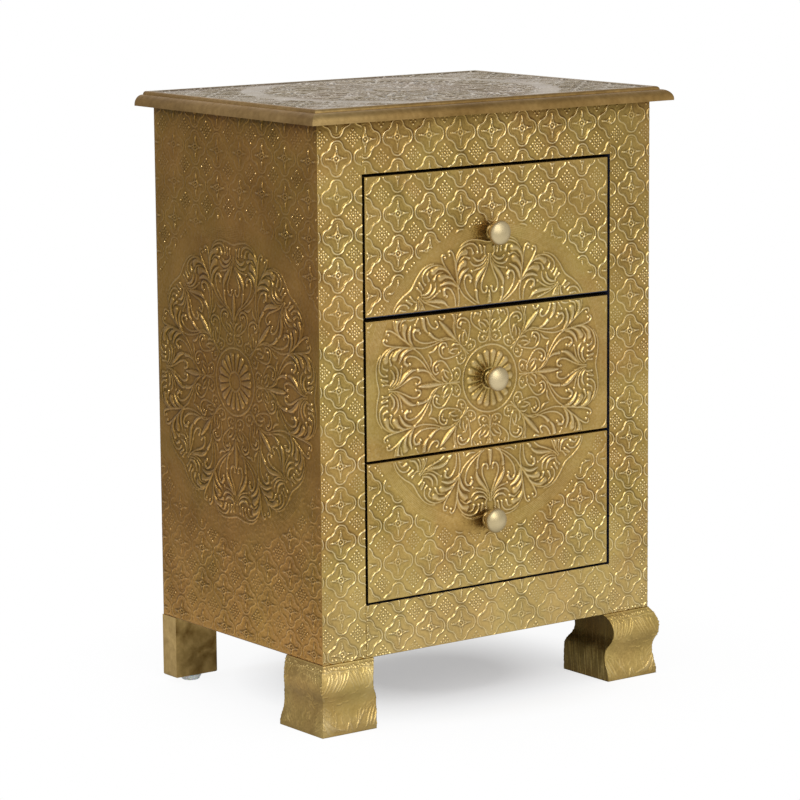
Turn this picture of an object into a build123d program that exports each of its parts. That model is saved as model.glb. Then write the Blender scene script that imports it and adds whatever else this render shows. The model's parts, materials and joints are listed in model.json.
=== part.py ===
"""Brass-clad bedside chest: a timber case on two sawn ogee feet and two plank legs, with three drawers.

Millimetres. +Z is up, the drawers open towards -Y, and the origin is on the floor at the middle of
the whole chest, knobs included.
"""

from build123d import *

import os
from math import atan2, degrees

# --- Driving dimensions -------------------------------------------------------------------------

# Case
case_width = 415.0
case_depth = 287.0
case_height = 526.0
foot_height = 70.0

# Timber
panel_thickness = 16.0
stile_width = 53.0
stile_thickness = 18.0
rail_height_top = 51.5
rail_height_bottom = 52.0
post_width = 50.0
post_thickness = 23.0
bottom_thickness = 12.0
back_thickness = 6.0
back_rebate = 10.0
tenon_length = 20.0
tenon_thickness = 8.0
tenon_shoulder = 8.0

# Brass: sheet_thickness is the depth that a sheet takes up with its raised pattern
sheet_thickness = 1.6
fold_thickness = 0.6
fold_depth = 12.0
wrap_thickness = 0.8
wrap_corner = 2.0

# Top
top_thickness = 14.0
side_overhang = 16.5
front_overhang = 16.5
back_overhang = 7.5
moulding_lip = 1.2
moulding_round = 9.6
moulding_ledge = 0.8
moulding_flat = 1.0

# Front feet: how far the sawn curve stands out at the knee, ankle and toe, and where
foot_width = 62.0
foot_depth = 64.0
knee_reach = 8.2
knee_height = 50.0
ankle_reach = 2.8
ankle_height = 26.0
toe_reach = 6.2
knee_hollow = 7.5
ankle_swell = 0.5
heel_inset_front = 2.0
heel_flare_side = 3.5

# Glides under the back legs
glide_diameter = 24.0
glide_base_diameter = 17.5
glide_height = 6.0
glide_round = 2.2
glide_stem_diameter = 4.0
glide_stem_length = 14.0

# Screws that hold the front feet, two in a row in each
foot_screw_diameter = 4.5
foot_screw_head = 9.0
foot_screw_head_depth = 3.0
foot_screw_length = 40.0
foot_screw_inset = 13.0
foot_screw_spacing = 18.0

# Drawers
drawer_names = ["bottom", "middle", "top"]
drawer_gap = 3.0
drawer_wall = 12.0
drawer_setback = 2.0
drawer_side_drop = 14.0
drawer_back_clearance = 6.4
drawer_tail = 10.0
drawer_base_thickness = 4.0
drawer_base_inset = 7.0
drawer_groove = 4.0
groove_clearance = 0.3

# Runners
runner_height = 12.0
runner_tongue = 6.4
runner_clearance = 0.4

# Knobs: each was set by hand, a little off the middle of its drawer
knob_shifts = [-3.0, 0.0, 3.0]
knob_lifts = [-3.4, -0.8, 4.4]
knob_reach = 18.5
knob_diameter = 25.0
knob_base_diameter = 11.0
knob_base_thickness = 1.2
knob_neck_diameter = 8.0
knob_neck_end = 7.0
knob_dome = 7.5
knob_rim_radius = 5.0
knob_screw_diameter = 4.0
knob_screw_bite = 9.0
knob_screw_head = 8.5
knob_screw_head_thickness = 2.4
knob_screw_head_edge = 0.8
screw_clearance = 0.3

# --- Places worked out from them ----------------------------------------------------------------

front_reach = max(knob_reach, front_overhang)
front_y = front_reach - (front_reach + case_depth + back_overhang) / 2
back_y = front_y + case_depth
frame_front_y = front_y + sheet_thickness
frame_back_y = frame_front_y + stile_thickness
post_front_y = back_y - post_thickness
panel_front_y = back_y - back_thickness

case_x = case_width / 2
timber_x = case_x - sheet_thickness
panel_inner_x = timber_x - panel_thickness
opening_x = case_x - stile_width
post_inner_x = case_x - post_width

case_top = foot_height + case_height
top_face = case_top + top_thickness
opening_bottom = foot_height + rail_height_bottom
opening_top = case_top - rail_height_top

moulding_shoulder = top_thickness - moulding_lip - moulding_round
moulding_width = moulding_round + moulding_ledge + moulding_shoulder + moulding_flat
top_x = case_x + side_overhang
top_front_y = front_y - front_overhang
top_back_y = back_y + back_overhang
board_x = top_x - moulding_width
board_front_y = top_front_y + moulding_width

leg_x = (timber_x + post_inner_x) / 2
leg_y = (post_front_y + back_y) / 2
leg_width = timber_x - post_inner_x
leg_bottom = glide_height + wrap_thickness

drawer_count = len(drawer_names)
drawer_gaps = (drawer_count + 1) * drawer_gap
drawer_height = (opening_top - opening_bottom - drawer_gaps) / drawer_count
drawer_x = opening_x - drawer_gap
drawer_side_x = drawer_x - drawer_setback
drawer_inner_x = drawer_side_x - drawer_wall
drawer_end_y = panel_front_y - drawer_back_clearance
drawer_back_y = drawer_end_y - drawer_tail
runner_tip_x = drawer_side_x - runner_tongue


def drawer_bottom_z(position):
    """Lower edge of a drawer's front, counted from the lowest drawer."""
    return opening_bottom + drawer_gap + position * (drawer_height + drawer_gap)


def knob_place(position):
    """Where a drawer's knob stands on its front: across, and up."""
    middle_z = drawer_bottom_z(position) + drawer_height / 2
    return (knob_shifts[position], middle_z + knob_lifts[position])


def foot_screw_places():
    """Plan positions of the screws in the left foot."""
    x = -(panel_inner_x - foot_screw_inset)
    first_y = frame_back_y + foot_screw_inset
    return [(x, first_y), (x, first_y + foot_screw_spacing)]


# --- Helpers ------------------------------------------------------------------------------------


def board(low, high):
    """A squared board or a flat sheet between two opposite corners."""
    middle = tuple((a + b) / 2 for a, b in zip(low, high))
    sizes = tuple(b - a for a, b in zip(low, high))
    with BuildPart() as piece:
        with Locations(middle):
            Box(*sizes)
    return piece.part


def mirrored(left):
    """The right-hand twin of a left-hand piece."""
    return mirror(left, about=Plane.YZ, mode=Mode.PRIVATE)


def save(part, name):
    """Labels a finished piece and writes it."""
    part.label = name
    export_step(part, f"parts/{name}.step")


def save_pair(left, name):
    """Writes a left-hand piece and its right-hand twin."""
    save(left, f"{name}_left")
    save(mirrored(left), f"{name}_right")


# --- Case timber --------------------------------------------------------------------------------


def front_stile():
    """Left upright of the front frame, mortised for both rails."""
    middle_y = (frame_front_y + frame_back_y) / 2
    mortises = [
        (foot_height + tenon_shoulder, opening_bottom - tenon_shoulder),
        (opening_top + tenon_shoulder, case_top - tenon_shoulder),
    ]
    with BuildPart() as stile:
        with BuildSketch(Plane.XY.offset(foot_height)):
            with Locations((-(timber_x + opening_x) / 2, middle_y)):
                Rectangle(timber_x - opening_x, stile_thickness)
        extrude(amount=case_height)
        with BuildSketch(Plane.YZ.offset(-opening_x)):
            for low, high in mortises:
                with Locations((middle_y, (low + high) / 2)):
                    Rectangle(tenon_thickness, high - low)
        extrude(amount=-tenon_length, mode=Mode.SUBTRACT)
    return stile.part


def front_rail(low, high):
    """Rail of the front frame between two heights, with a tenon at each end."""
    middle_y = (frame_front_y + frame_back_y) / 2
    with BuildPart() as rail:
        with BuildSketch(Plane.XZ.offset(-middle_y)):
            with Locations((0, (low + high) / 2)):
                Rectangle(2 * opening_x, high - low)
        extrude(amount=stile_thickness / 2, both=True)
        with BuildSketch(Plane.XZ.offset(-middle_y)):
            with Locations((0, (low + high) / 2)):
                Rectangle(2 * (opening_x + tenon_length), high - low - 2 * tenon_shoulder)
        extrude(amount=tenon_thickness / 2, both=True)
    return rail.part


def back_post():
    """Left back post, which runs on down as the leg, rebated for the back panel."""
    with BuildPart() as post:
        with BuildSketch(Plane.XY.offset(leg_bottom)):
            with Locations((-leg_x, leg_y)):
                Rectangle(leg_width, post_thickness)
        extrude(amount=case_top - leg_bottom)
        with BuildSketch(Plane.XY.offset(foot_height)):
            with Locations((-post_inner_x - back_rebate / 2, (panel_front_y + back_y) / 2)):
                Rectangle(back_rebate, back_thickness)
        extrude(amount=case_height, mode=Mode.SUBTRACT)
        add(leg_glide(-leg_x), mode=Mode.SUBTRACT)
    return post.part


def bottom_board():
    """Floor of the case, notched round the posts and countersunk for the foot screws."""
    notch_x = (panel_inner_x + post_inner_x) / 2
    notch_y = (post_front_y + panel_front_y) / 2
    with BuildPart() as floor:
        with BuildSketch(Plane.XY.offset(foot_height)):
            with Locations((0, (frame_back_y + panel_front_y) / 2)):
                Rectangle(2 * panel_inner_x, panel_front_y - frame_back_y)
            with Locations((-notch_x, notch_y), (notch_x, notch_y)):
                notch_depth = panel_front_y - post_front_y
                Rectangle(panel_inner_x - post_inner_x, notch_depth, mode=Mode.SUBTRACT)
        extrude(amount=bottom_thickness)
        add(foot_screws(), mode=Mode.SUBTRACT)
    return floor.part


def runner(middle_z):
    """Left drawer runner, butted between stile and post against the side panel."""
    low = (-panel_inner_x, frame_back_y, middle_z - runner_height / 2)
    high = (-runner_tip_x, post_front_y, middle_z + runner_height / 2)
    return board(low, high)


# --- Feet ---------------------------------------------------------------------------------------


def reverse_curve(upper, lower):
    """Two equal arcs that meet halfway, upright at both ends."""
    middle = ((upper[0] + lower[0]) / 2, (upper[1] + lower[1]) / 2)
    first = TangentArc(upper, middle, tangent=(0, -1))
    TangentArc(middle, lower, tangent=first % 1)


def foot_outline(width, heel_x):
    """Saw template for one face of a foot: outer edge at zero, wood on the plus side."""
    knee = (-knee_reach, knee_height)
    ankle = (-ankle_reach, ankle_height)
    toe = (-toe_reach, 0)
    hollow = (width - knee_hollow, knee_height)
    swell = (width + ankle_swell, ankle_height)
    heel = (heel_x, 0)
    with BuildSketch() as face:
        with BuildLine():
            TangentArc(knee, (0, foot_height), tangent=(0, 1))
            reverse_curve(knee, ankle)
            reverse_curve(ankle, toe)
            Line(toe, heel)
            reverse_curve(swell, heel)
            reverse_curve(hollow, swell)
            TangentArc(hollow, (width, foot_height), tangent=(0, 1))
            Line((width, foot_height), (0, foot_height))
        make_face()
    return face.sketch


def front_foot():
    """Left front foot: a block sawn to the same ogee on both outer faces."""
    reach = knee_reach + toe_reach
    with BuildPart() as foot:
        with BuildSketch(Plane.XZ.offset(reach - front_y)):
            with Locations((-case_x, 0)):
                add(foot_outline(foot_width, foot_width - heel_inset_front))
        extrude(amount=-(foot_depth + 2 * reach))
        with BuildSketch(Plane.YZ.offset(-case_x - reach)):
            with Locations((front_y, 0)):
                add(foot_outline(foot_depth, foot_depth + heel_flare_side))
        extrude(amount=foot_width + 2 * reach, mode=Mode.INTERSECT)
        for x, y in foot_screw_places():
            add(foot_screw(x, y), mode=Mode.SUBTRACT)
    return foot.part


def foot_screw(x, y):
    """Countersunk screw, its head flush with the floor of the case."""
    head_z = foot_height + bottom_thickness
    tip_z = head_z - foot_screw_length
    shank_x = x + foot_screw_diameter / 2
    with BuildPart() as screw:
        with BuildSketch(Plane.XZ.offset(-y)):
            with BuildLine():
                Polyline(
                    (x, head_z),
                    (x + foot_screw_head / 2, head_z),
                    (shank_x, head_z - foot_screw_head_depth),
                    (shank_x, tip_z + foot_screw_diameter),
                    (x, tip_z),
                    close=True,
                )
            make_face()
        revolve(axis=Axis((x, y, 0), (0, 0, 1)))
    return screw.part


def foot_screws():
    """All four foot screws."""
    with BuildPart() as screws:
        for x, y in foot_screw_places():
            add(foot_screw(x, y))
            add(foot_screw(-x, y))
    return screws.part


def leg_wrap():
    """Plain brass folded round the left back leg and under its end."""
    with BuildPart() as wrap:
        with BuildSketch(Plane.XY.offset(glide_height)):
            with Locations((-leg_x, leg_y)):
                Rectangle(leg_width + 2 * wrap_thickness, post_thickness + 2 * wrap_thickness)
        extrude(amount=foot_height - glide_height)
        fillet(wrap.faces().sort_by(Axis.Z)[0].edges(), wrap_corner)
        with BuildSketch(Plane.XY.offset(leg_bottom)):
            with Locations((-leg_x, leg_y)):
                Rectangle(leg_width, post_thickness)
        extrude(amount=foot_height - leg_bottom, mode=Mode.SUBTRACT)
        add(leg_glide(-leg_x), mode=Mode.SUBTRACT)
    return wrap.part


def leg_glide(x):
    """Plastic glide under a leg: a tapered disc with a stem driven up into the end grain."""
    stem = glide_stem_diameter / 2
    with BuildPart() as glide:
        with BuildSketch(Plane.XZ.offset(-leg_y)):
            with BuildLine():
                Polyline(
                    (x, 0),
                    (x + glide_base_diameter / 2, 0),
                    (x + glide_diameter / 2, glide_height),
                    (x + stem, glide_height),
                    (x + stem, glide_height + glide_stem_length),
                    (x, glide_height + glide_stem_length),
                    close=True,
                )
            make_face()
        revolve(axis=Axis((x, leg_y, 0), (0, 0, 1)))
        fillet(glide.edges().sort_by(Axis.Z)[0], glide_round)
    return glide.part


def leg_glides():
    """Both glides."""
    with BuildPart() as glides:
        add(leg_glide(-leg_x))
        add(leg_glide(leg_x))
    return glides.part


# --- Top ----------------------------------------------------------------------------------------


def moulding_section():
    """Section of the edge moulding: a quarter round, a ledge and a small shoulder."""
    round_top = moulding_lip + moulding_round
    shoulder_x = moulding_round + moulding_ledge + moulding_shoulder
    with BuildSketch() as section:
        with BuildLine():
            lip = Line((0, 0), (0, moulding_lip))
            ovolo = CenterArc((moulding_round, moulding_lip), moulding_round, 180, -90)
            ledge = Line(ovolo @ 1, (moulding_round + moulding_ledge, round_top))
            shoulder = CenterArc((shoulder_x, round_top), moulding_shoulder, 180, -90)
            Polyline(shoulder @ 1, (moulding_width, top_thickness), (moulding_width, 0), lip @ 0)
        make_face()
    return section.sketch


def top_moulding_front():
    """Front moulding, mitred at both ends."""
    with BuildPart() as moulding:
        with BuildSketch(Plane.YZ):
            with Locations((top_front_y, case_top)):
                add(moulding_section())
        extrude(amount=top_x, both=True)
        with BuildSketch(Plane.XY.offset(case_top)):
            with BuildLine():
                Polyline(
                    (-top_x, top_front_y),
                    (top_x, top_front_y),
                    (board_x, board_front_y),
                    (-board_x, board_front_y),
                    close=True,
                )
            make_face()
        extrude(amount=top_thickness, mode=Mode.INTERSECT)
    return moulding.part


def top_moulding_side():
    """Left moulding, mitred at the front and square at the back."""
    with BuildPart() as moulding:
        with BuildSketch(Plane.XZ.offset(-top_back_y)):
            with Locations((-top_x, case_top)):
                add(moulding_section())
        extrude(amount=top_back_y - top_front_y)
        with BuildSketch(Plane.XY.offset(case_top)):
            with BuildLine():
                Polyline(
                    (-top_x, top_front_y),
                    (-board_x, board_front_y),
                    (-board_x, top_back_y),
                    (-top_x, top_back_y),
                    close=True,
                )
            make_face()
        extrude(amount=top_thickness, mode=Mode.INTERSECT)
    return moulding.part


# --- Drawers ------------------------------------------------------------------------------------


def drawer_front(low_z, screw_place):
    """Front board, bored for the knob screw and grooved for the base."""
    middle_z = low_z + drawer_height / 2
    base_z = low_z + drawer_side_drop + drawer_base_inset
    groove_height = drawer_base_thickness + groove_clearance
    with BuildPart() as front:
        with BuildSketch(Plane.XZ.offset(-frame_back_y)):
            with Locations((0, middle_z)):
                Rectangle(2 * (drawer_x - fold_thickness), drawer_height - 2 * fold_thickness)
            with Locations(screw_place):
                Circle(knob_screw_diameter / 2 + screw_clearance, mode=Mode.SUBTRACT)
        extrude(amount=stile_thickness)
        with BuildSketch(Plane.XZ.offset(-frame_back_y)):
            with Locations((0, base_z + groove_height / 2)):
                Rectangle(2 * (drawer_inner_x + drawer_groove), groove_height)
        extrude(amount=drawer_groove, mode=Mode.SUBTRACT)
    return front.part


def drawer_sheet(low_z, screw_place):
    """Embossed brass face of a drawer, its edges folded back round the front board."""
    middle_z = low_z + drawer_height / 2
    with BuildPart() as sheet:
        with BuildSketch(Plane.XZ.offset(-front_y)):
            with Locations((0, middle_z)):
                Rectangle(2 * drawer_x, drawer_height)
            with Locations(screw_place):
                Circle(knob_screw_diameter / 2 + screw_clearance, mode=Mode.SUBTRACT)
        extrude(amount=-(sheet_thickness + fold_depth))
        with BuildSketch(Plane.XZ.offset(-frame_front_y)):
            with Locations((0, middle_z)):
                Rectangle(2 * (drawer_x - fold_thickness), drawer_height - 2 * fold_thickness)
        extrude(amount=-fold_depth, mode=Mode.SUBTRACT)
    return sheet.part


def drawer_side(low_z):
    """Left drawer side: runner groove outside, base groove and back housing inside."""
    middle_z = low_z + drawer_height / 2
    bottom_z = low_z + drawer_side_drop
    height = drawer_height - 2 * drawer_side_drop
    middle_x = -(drawer_side_x + drawer_inner_x) / 2
    slot_depth = runner_tongue + runner_clearance
    slot_height = runner_height + 2 * runner_clearance
    groove_height = drawer_base_thickness + groove_clearance
    groove_z = bottom_z + drawer_base_inset + groove_height / 2
    with BuildPart() as side:
        with BuildSketch(Plane.XZ.offset(-drawer_end_y)):
            with Locations((middle_x, middle_z)):
                Rectangle(drawer_wall, height)
            with Locations((-drawer_side_x + slot_depth / 2, middle_z)):
                Rectangle(slot_depth, slot_height, mode=Mode.SUBTRACT)
            with Locations((-drawer_inner_x - drawer_groove / 2, groove_z)):
                Rectangle(drawer_groove, groove_height, mode=Mode.SUBTRACT)
        extrude(amount=drawer_end_y - frame_back_y)
        with BuildSketch(Plane.XY.offset(bottom_z)):
            with Locations((-drawer_inner_x - drawer_groove / 2, drawer_back_y - drawer_wall / 2)):
                Rectangle(drawer_groove, drawer_wall)
        extrude(amount=height, mode=Mode.SUBTRACT)
    return side.part


def drawer_back(low_z):
    """Back board, housed in both sides and standing on the base."""
    base_z = low_z + drawer_side_drop + drawer_base_inset
    reach_x = drawer_inner_x + drawer_groove
    low = (-reach_x, drawer_back_y - drawer_wall, base_z + drawer_base_thickness)
    high = (reach_x, drawer_back_y, low_z + drawer_height - drawer_side_drop)
    return board(low, high)


def drawer_base(low_z):
    """Plywood base, slid in from behind along the grooves."""
    base_z = low_z + drawer_side_drop + drawer_base_inset
    reach_x = drawer_inner_x + drawer_groove - groove_clearance
    low = (-reach_x, frame_back_y - drawer_groove + groove_clearance, base_z)
    high = (reach_x, drawer_back_y, base_z + drawer_base_thickness)
    return board(low, high)


def knob(x, middle_z):
    """Turned mushroom knob with a blind screw hole, standing on the drawer sheet."""
    apex = (front_y - knob_reach, middle_z)
    neck = (front_y - knob_neck_end, middle_z + knob_neck_diameter / 2)
    rim = (front_y - knob_reach + knob_dome, middle_z + knob_diameter / 2)
    # The face is a flat dome with a tighter bend at the rim, and this puts the two in tangent
    face_radius = (
        (knob_dome**2 + (knob_diameter / 2) ** 2 - knob_diameter * knob_rim_radius)
        / (knob_dome - knob_rim_radius)
        / 2
    )
    face_angle = degrees(
        atan2(knob_diameter / 2 - knob_rim_radius, face_radius - knob_dome)
    )
    with BuildPart() as turned:
        with BuildSketch(Plane.YZ.offset(x)):
            with BuildLine():
                Polyline(
                    apex,
                    (front_y, middle_z),
                    (front_y, middle_z + knob_base_diameter / 2),
                    (front_y - knob_base_thickness, middle_z + knob_base_diameter / 2),
                    (front_y - knob_base_thickness, neck[1]),
                    neck,
                )
                TangentArc(rim, neck, tangent=(1, 0))
                rim_centre = (rim[0], rim[1] - knob_rim_radius)
                CenterArc(rim_centre, knob_rim_radius, 90, 90 - face_angle)
                face_centre = (apex[0] + face_radius, middle_z)
                CenterArc(face_centre, face_radius, 180 - face_angle, face_angle)
            make_face()
        revolve(axis=Axis((x, 0, middle_z), (0, 1, 0)))
        with BuildSketch(Plane.XZ.offset(-front_y)):
            with Locations((x, middle_z)):
                Circle(knob_screw_diameter / 2)
        extrude(amount=knob_screw_bite, mode=Mode.SUBTRACT)
    return turned.part


def knob_screw(x, middle_z):
    """Pan-head screw from inside the drawer into the knob."""
    crown = (frame_back_y + knob_screw_head_thickness, middle_z)
    edge = (frame_back_y + knob_screw_head_edge, middle_z + knob_screw_head / 2)
    tip = (front_y - knob_screw_bite, middle_z)
    shank_z = middle_z + knob_screw_diameter / 2
    with BuildPart() as screw:
        with BuildSketch(Plane.YZ.offset(x)):
            with BuildLine():
                TangentArc(crown, edge, tangent=(0, 1))
                Polyline(
                    edge,
                    (frame_back_y, edge[1]),
                    (frame_back_y, shank_z),
                    (tip[0], shank_z),
                    tip,
                    crown,
                )
            make_face()
        revolve(axis=Axis((x, 0, middle_z), (0, 1, 0)))
    return screw.part


# --- Hand over ----------------------------------------------------------------------------------

os.makedirs("parts", exist_ok=True)

save_pair(
    board((-timber_x, frame_back_y, foot_height), (-panel_inner_x, post_front_y, case_top)),
    "side_panel",
)
save_pair(front_stile(), "front_stile")
save(front_rail(foot_height, opening_bottom), "front_rail_bottom")
save(front_rail(opening_top, case_top), "front_rail_top")
save_pair(back_post(), "back_post")
save(bottom_board(), "bottom_board")
panel_x = post_inner_x + back_rebate
save(board((-panel_x, panel_front_y, foot_height), (panel_x, back_y, case_top)), "back_panel")

save_pair(front_foot(), "front_foot")
save(foot_screws(), "foot_screws")
save_pair(leg_wrap(), "back_leg_wrap")
save(leg_glides(), "leg_glides")

save_pair(
    board((-case_x, frame_front_y, foot_height), (-timber_x, back_y, case_top)),
    "side_sheet",
)
save_pair(
    board((-case_x, front_y, foot_height), (-opening_x, frame_front_y, case_top)),
    "stile_sheet",
)
save(
    board((-opening_x, front_y, foot_height), (opening_x, frame_front_y, opening_bottom)),
    "rail_sheet_bottom",
)
save(
    board((-opening_x, front_y, opening_top), (opening_x, frame_front_y, case_top)),
    "rail_sheet_top",
)

sheet_bottom = top_face - sheet_thickness
save(board((-board_x, board_front_y, case_top), (board_x, top_back_y, sheet_bottom)), "top_board")
save(board((-board_x, board_front_y, sheet_bottom), (board_x, top_back_y, top_face)), "top_sheet")
save(top_moulding_front(), "top_moulding_front")
save_pair(top_moulding_side(), "top_moulding")

for position, name in enumerate(drawer_names):
    low_z = drawer_bottom_z(position)
    save_pair(runner(low_z + drawer_height / 2), f"runner_{name}")
    save(drawer_front(low_z, knob_place(position)), f"drawer_front_{name}")
    save(drawer_sheet(low_z, knob_place(position)), f"drawer_sheet_{name}")
    save_pair(drawer_side(low_z), f"drawer_side_{name}")
    save(drawer_back(low_z), f"drawer_back_{name}")
    save(drawer_base(low_z), f"drawer_base_{name}")
    save(knob(*knob_place(position)), f"knob_{name}")
    save(knob_screw(*knob_place(position)), f"knob_screw_{name}")
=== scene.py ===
"""Looks of a bedside chest clad in embossed brass: relief sheets, finishes, studio and camera."""
import json
import math
import bpy
import numpy as np
from mathutils import Matrix, Vector


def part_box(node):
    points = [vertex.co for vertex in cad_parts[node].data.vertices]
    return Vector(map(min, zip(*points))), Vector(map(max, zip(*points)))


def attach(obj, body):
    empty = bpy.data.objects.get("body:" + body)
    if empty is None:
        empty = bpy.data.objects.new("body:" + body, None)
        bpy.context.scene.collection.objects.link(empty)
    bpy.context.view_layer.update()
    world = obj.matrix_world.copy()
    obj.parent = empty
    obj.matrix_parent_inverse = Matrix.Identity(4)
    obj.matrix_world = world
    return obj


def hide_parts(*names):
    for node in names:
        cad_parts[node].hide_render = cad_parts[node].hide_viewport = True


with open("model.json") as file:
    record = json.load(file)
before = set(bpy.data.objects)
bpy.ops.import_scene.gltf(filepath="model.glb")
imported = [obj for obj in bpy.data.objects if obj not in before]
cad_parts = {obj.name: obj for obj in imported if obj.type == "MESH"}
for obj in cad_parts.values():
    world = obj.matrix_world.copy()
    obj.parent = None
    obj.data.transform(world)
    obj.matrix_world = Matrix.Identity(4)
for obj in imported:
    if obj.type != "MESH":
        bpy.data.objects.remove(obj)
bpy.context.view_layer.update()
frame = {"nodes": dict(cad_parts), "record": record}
nodes = frame["nodes"]
MM = 0.001
rng = np.random.default_rng(7)  # draws the nails, then the strokes of the feet

# --- Ornament, in millimetres -----------------------------------------

SECTOR = math.radians(22.5)  # half of one of the medallion's eight mirrored motifs
PITCH = 38.6  # side of the lattice tile
BAND_EDGE = 161.0  # radius where the plain band ends, if a sheet has no own one
WEAR = 0.48  # share of the lattice lost where the sheet is most worn
WOBBLE = 0.35  # how far the lattice strays from straight rows
WAVES = (210, 150, 95, 70, 48, 33)  # lengths of the waves in thin sheet nailed by hand
STROKES_FROM = 35.0  # the medallion's strokes lie outside this radius
RING_LINE = (33.7, 1.1, 0.5)  # ring round the rosette: radius, half width and height
EYE_LINE = (10.0, 1.0, 0.6)  # ring round the rosette's eye
PETAL = math.radians(10)  # half of a petal's angle
PETAL_FILL = 0.93  # share of that angle which the petal fills
PETAL_REACH = (9.5, 25.3)  # radii between which a petal's backbone runs
TURNED_PITCH = 1.7  # fine turned lines in the plain band
TURNED_SPAN = (141.5, 143.0, 152.0, 156.0)  # radii where they rise, and where they fade


def smoothstep(low, high, x):
    """Smooth ramp from 0 at low to 1 at high."""
    t = np.clip((x - low) / (high - low), 0, 1)
    return t * t * (3 - 2 * t)


def dome(distance, width):
    """Round-backed ridge of that half width."""
    return np.clip(1 - (distance / width) ** 2, 0, 1)


def blur(h, sigma):
    """Gaussian blur of a grid; sigma in cells."""
    reach = max(1, int(3 * sigma))
    k = np.exp(-0.5 * (np.arange(-reach, reach + 1) / sigma) ** 2)
    k /= k.sum()
    for axis in (0, 1):
        pad = [(reach, reach) if a == axis else (0, 0) for a in (0, 1)]
        wide = np.pad(h, pad, mode="edge")
        n = h.shape[axis]
        h = sum(w * np.take(wide, range(i, i + n), axis=axis) for i, w in enumerate(k))
    return h


def smooth_path(points, step=0.35):
    """Smooth line through the points, sampled closely enough to stamp."""
    p = np.array(points, float)
    q = np.vstack([2 * p[0] - p[1], p, 2 * p[-1] - p[-2]])
    out = []
    for a, b, c, d in zip(q, q[1:], q[2:], q[3:]):
        n = max(2, int(np.linalg.norm(c - b) / step))
        t = np.linspace(0, 1, n, endpoint=False)[:, None]
        cubic = (3 * b - a - 3 * c + d) * t**3
        out.append(0.5 * (2 * b + (c - a) * t + (2 * a - 5 * b + 4 * c - d) * t**2 + cubic))
    return np.vstack(out + [p[-1:]])


PAST_LAST = 1.001  # keeps a sampled place just inside the last cell


class Plate:
    """A height grid that ridges are pressed into."""

    def __init__(self, low, high, cell):
        self.low = np.array(low, float)
        self.cell = cell
        nx, ny = np.ceil((np.array(high) - low) / cell).astype(int) + 1
        self.h = np.zeros((ny, nx))

    def press(self, path, widths, heights):
        """Raise a ridge along a path. Half widths and heights are numbers, or one for each point."""
        ny, nx = self.h.shape
        widths, heights = (np.broadcast_to(a, len(path)) for a in (widths, heights))
        for (x, y), w, k in zip(path, widths, heights):
            left, right = (int((x + s * w - self.low[0]) / self.cell) for s in (-1, 1))
            down, up = (int((y + s * w - self.low[1]) / self.cell) for s in (-1, 1))
            left, down, right, up = max(0, left), max(0, down), min(nx, right + 2), min(ny, up + 2)
            if left >= right or down >= up:
                continue
            gx = self.low[0] + np.arange(left, right) * self.cell - x
            gy = self.low[1] + np.arange(down, up) * self.cell - y
            part = self.h[down:up, left:right]
            np.maximum(part, k * dome(np.hypot(gx[None, :], gy[:, None]), w), out=part)

    def sample(self, x, y):
        """Heights at those places, read between the grid's cells."""
        u = np.clip((x - self.low[0]) / self.cell, 0, self.h.shape[1] - PAST_LAST)
        v = np.clip((y - self.low[1]) / self.cell, 0, self.h.shape[0] - PAST_LAST)
        i, j = u.astype(int), v.astype(int)
        u, v = u - i, v - j
        low = self.h[j, i] * (1 - u) + self.h[j, i + 1] * u
        high = self.h[j + 1, i] * (1 - u) + self.h[j + 1, i + 1] * u
        return low * (1 - v) + high * v


# How far a stroke has widened from thin to fat, by the share of its length
PROFILES = {
    "vine": lambda t: t,
    "leaf": lambda t: np.sin(np.pi * t) ** 0.8,
    "comma": lambda t: t**1.6,
}

# Half a motif of the medallion: x across from its axis, y outward from the centre
MEDALLION_GRID = (-4, 30), (60, 146), 0.25  # lower and upper corner, and cell
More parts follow.
